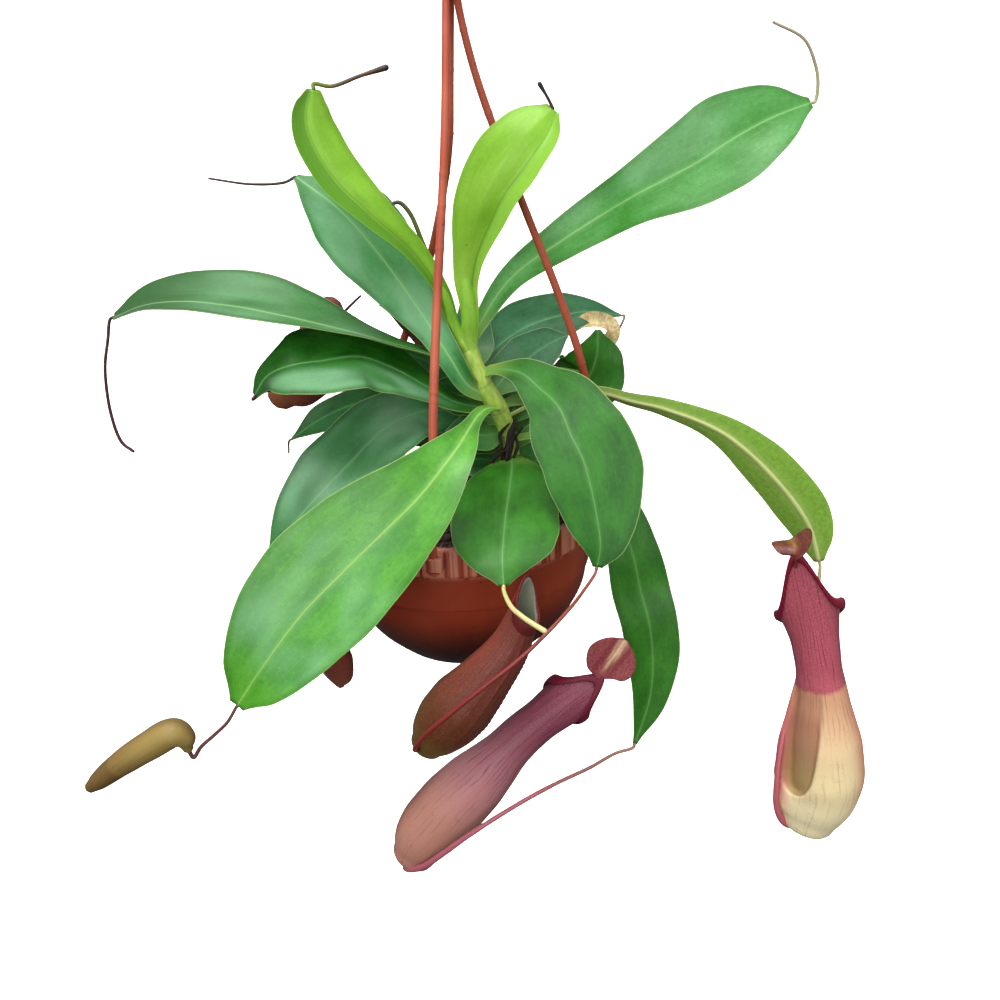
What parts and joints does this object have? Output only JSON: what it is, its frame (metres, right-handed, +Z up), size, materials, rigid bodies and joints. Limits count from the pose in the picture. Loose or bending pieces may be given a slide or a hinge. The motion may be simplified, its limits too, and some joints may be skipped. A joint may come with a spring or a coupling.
{
  "type": "hanging pitcher plant",
  "caption": "Pitcher plant with broad arching leaves, tendrils and hanging pitchers in a round plastic pot on a three-strand hook hanger.",
  "frame": {"origin": "the seat inside the top of the hook's bend, where the rail or nail holds it", "axes": "+Z straight up, -Y towards the viewer of the picture, +X to the viewer's right"},
  "size_m": [0.4171, 0.1921, 0.5415],
  "materials": {
    "pot_plastic": "satin moulded plastic",
    "strand_plastic": "satin moulded plastic",
    "potting_mix": "dark crumbly potting mix",
    "stem": "green plant stem",
    "dry_matter": "dry brown plant matter",
    "leaf": "waxy green leaf with a pale midrib",
    "young_leaf": "waxy bright young leaf",
    "tendril": "thin red-brown tendril",
    "pitcher_red": "satin pitcher skin with fine stripes",
    "pitcher_olive": "satin skin of a young pitcher"
  },
  "bodies": {
    "root": {"pot": "pot_plastic", "stem": "stem", "old_stem": "dry_matter", "potting_mix": "potting_mix", "hanger_hook": "strand_plastic", "hanger_strand_1": "strand_plastic", "hanger_strand_2": "strand_plastic", "hanger_strand_3": "strand_plastic", "leaf_long_left": "leaf", "leaf_upper_left": "leaf", "leaf_young_left": "young_leaf", "leaf_young_centre": "young_leaf", "leaf_upper_right": "leaf", "leaf_wide_left": "leaf", "leaf_small_left": "leaf", "leaf_lower_left": "leaf", "leaf_front_left": "leaf", "leaf_front_right": "leaf", "leaf_front_small": "leaf", "leaf_hanging_right": "leaf", "leaf_arching_right": "leaf", "leaf_back_right_1": "leaf", "leaf_back_right_2": "leaf", "leaf_back_right_3": "leaf", "leaf_behind_left": "leaf", "leaf_behind_stem": "leaf", "leaf_small_stem": "leaf", "dry_leaf": "dry_matter", "tendril_long_left": "tendril", "tendril_upper_left": "tendril", "tendril_young_left": "tendril", "tendril_young_centre": "tendril", "tendril_upper_right": "tendril", "tendril_small_left": "tendril", "tendril_back_right": "tendril", "tendril_front_small": "young_leaf", "tendril_front_left": "tendril", "tendril_front_right": "tendril", "tendril_hanging_right": "tendril", "tendril_arching_right": "tendril", "tendril_lower_left": "tendril", "tendril_wide_left": "tendril", "new_shoot": "young_leaf", "pitcher_right": "pitcher_red", "pitcher_middle": "pitcher_red", "pitcher_front": "pitcher_red", "pitcher_young": "pitcher_olive", "pitcher_hidden_low": "pitcher_red", "pitcher_hidden_left": "pitcher_red"}
  },
  "joints": []
}
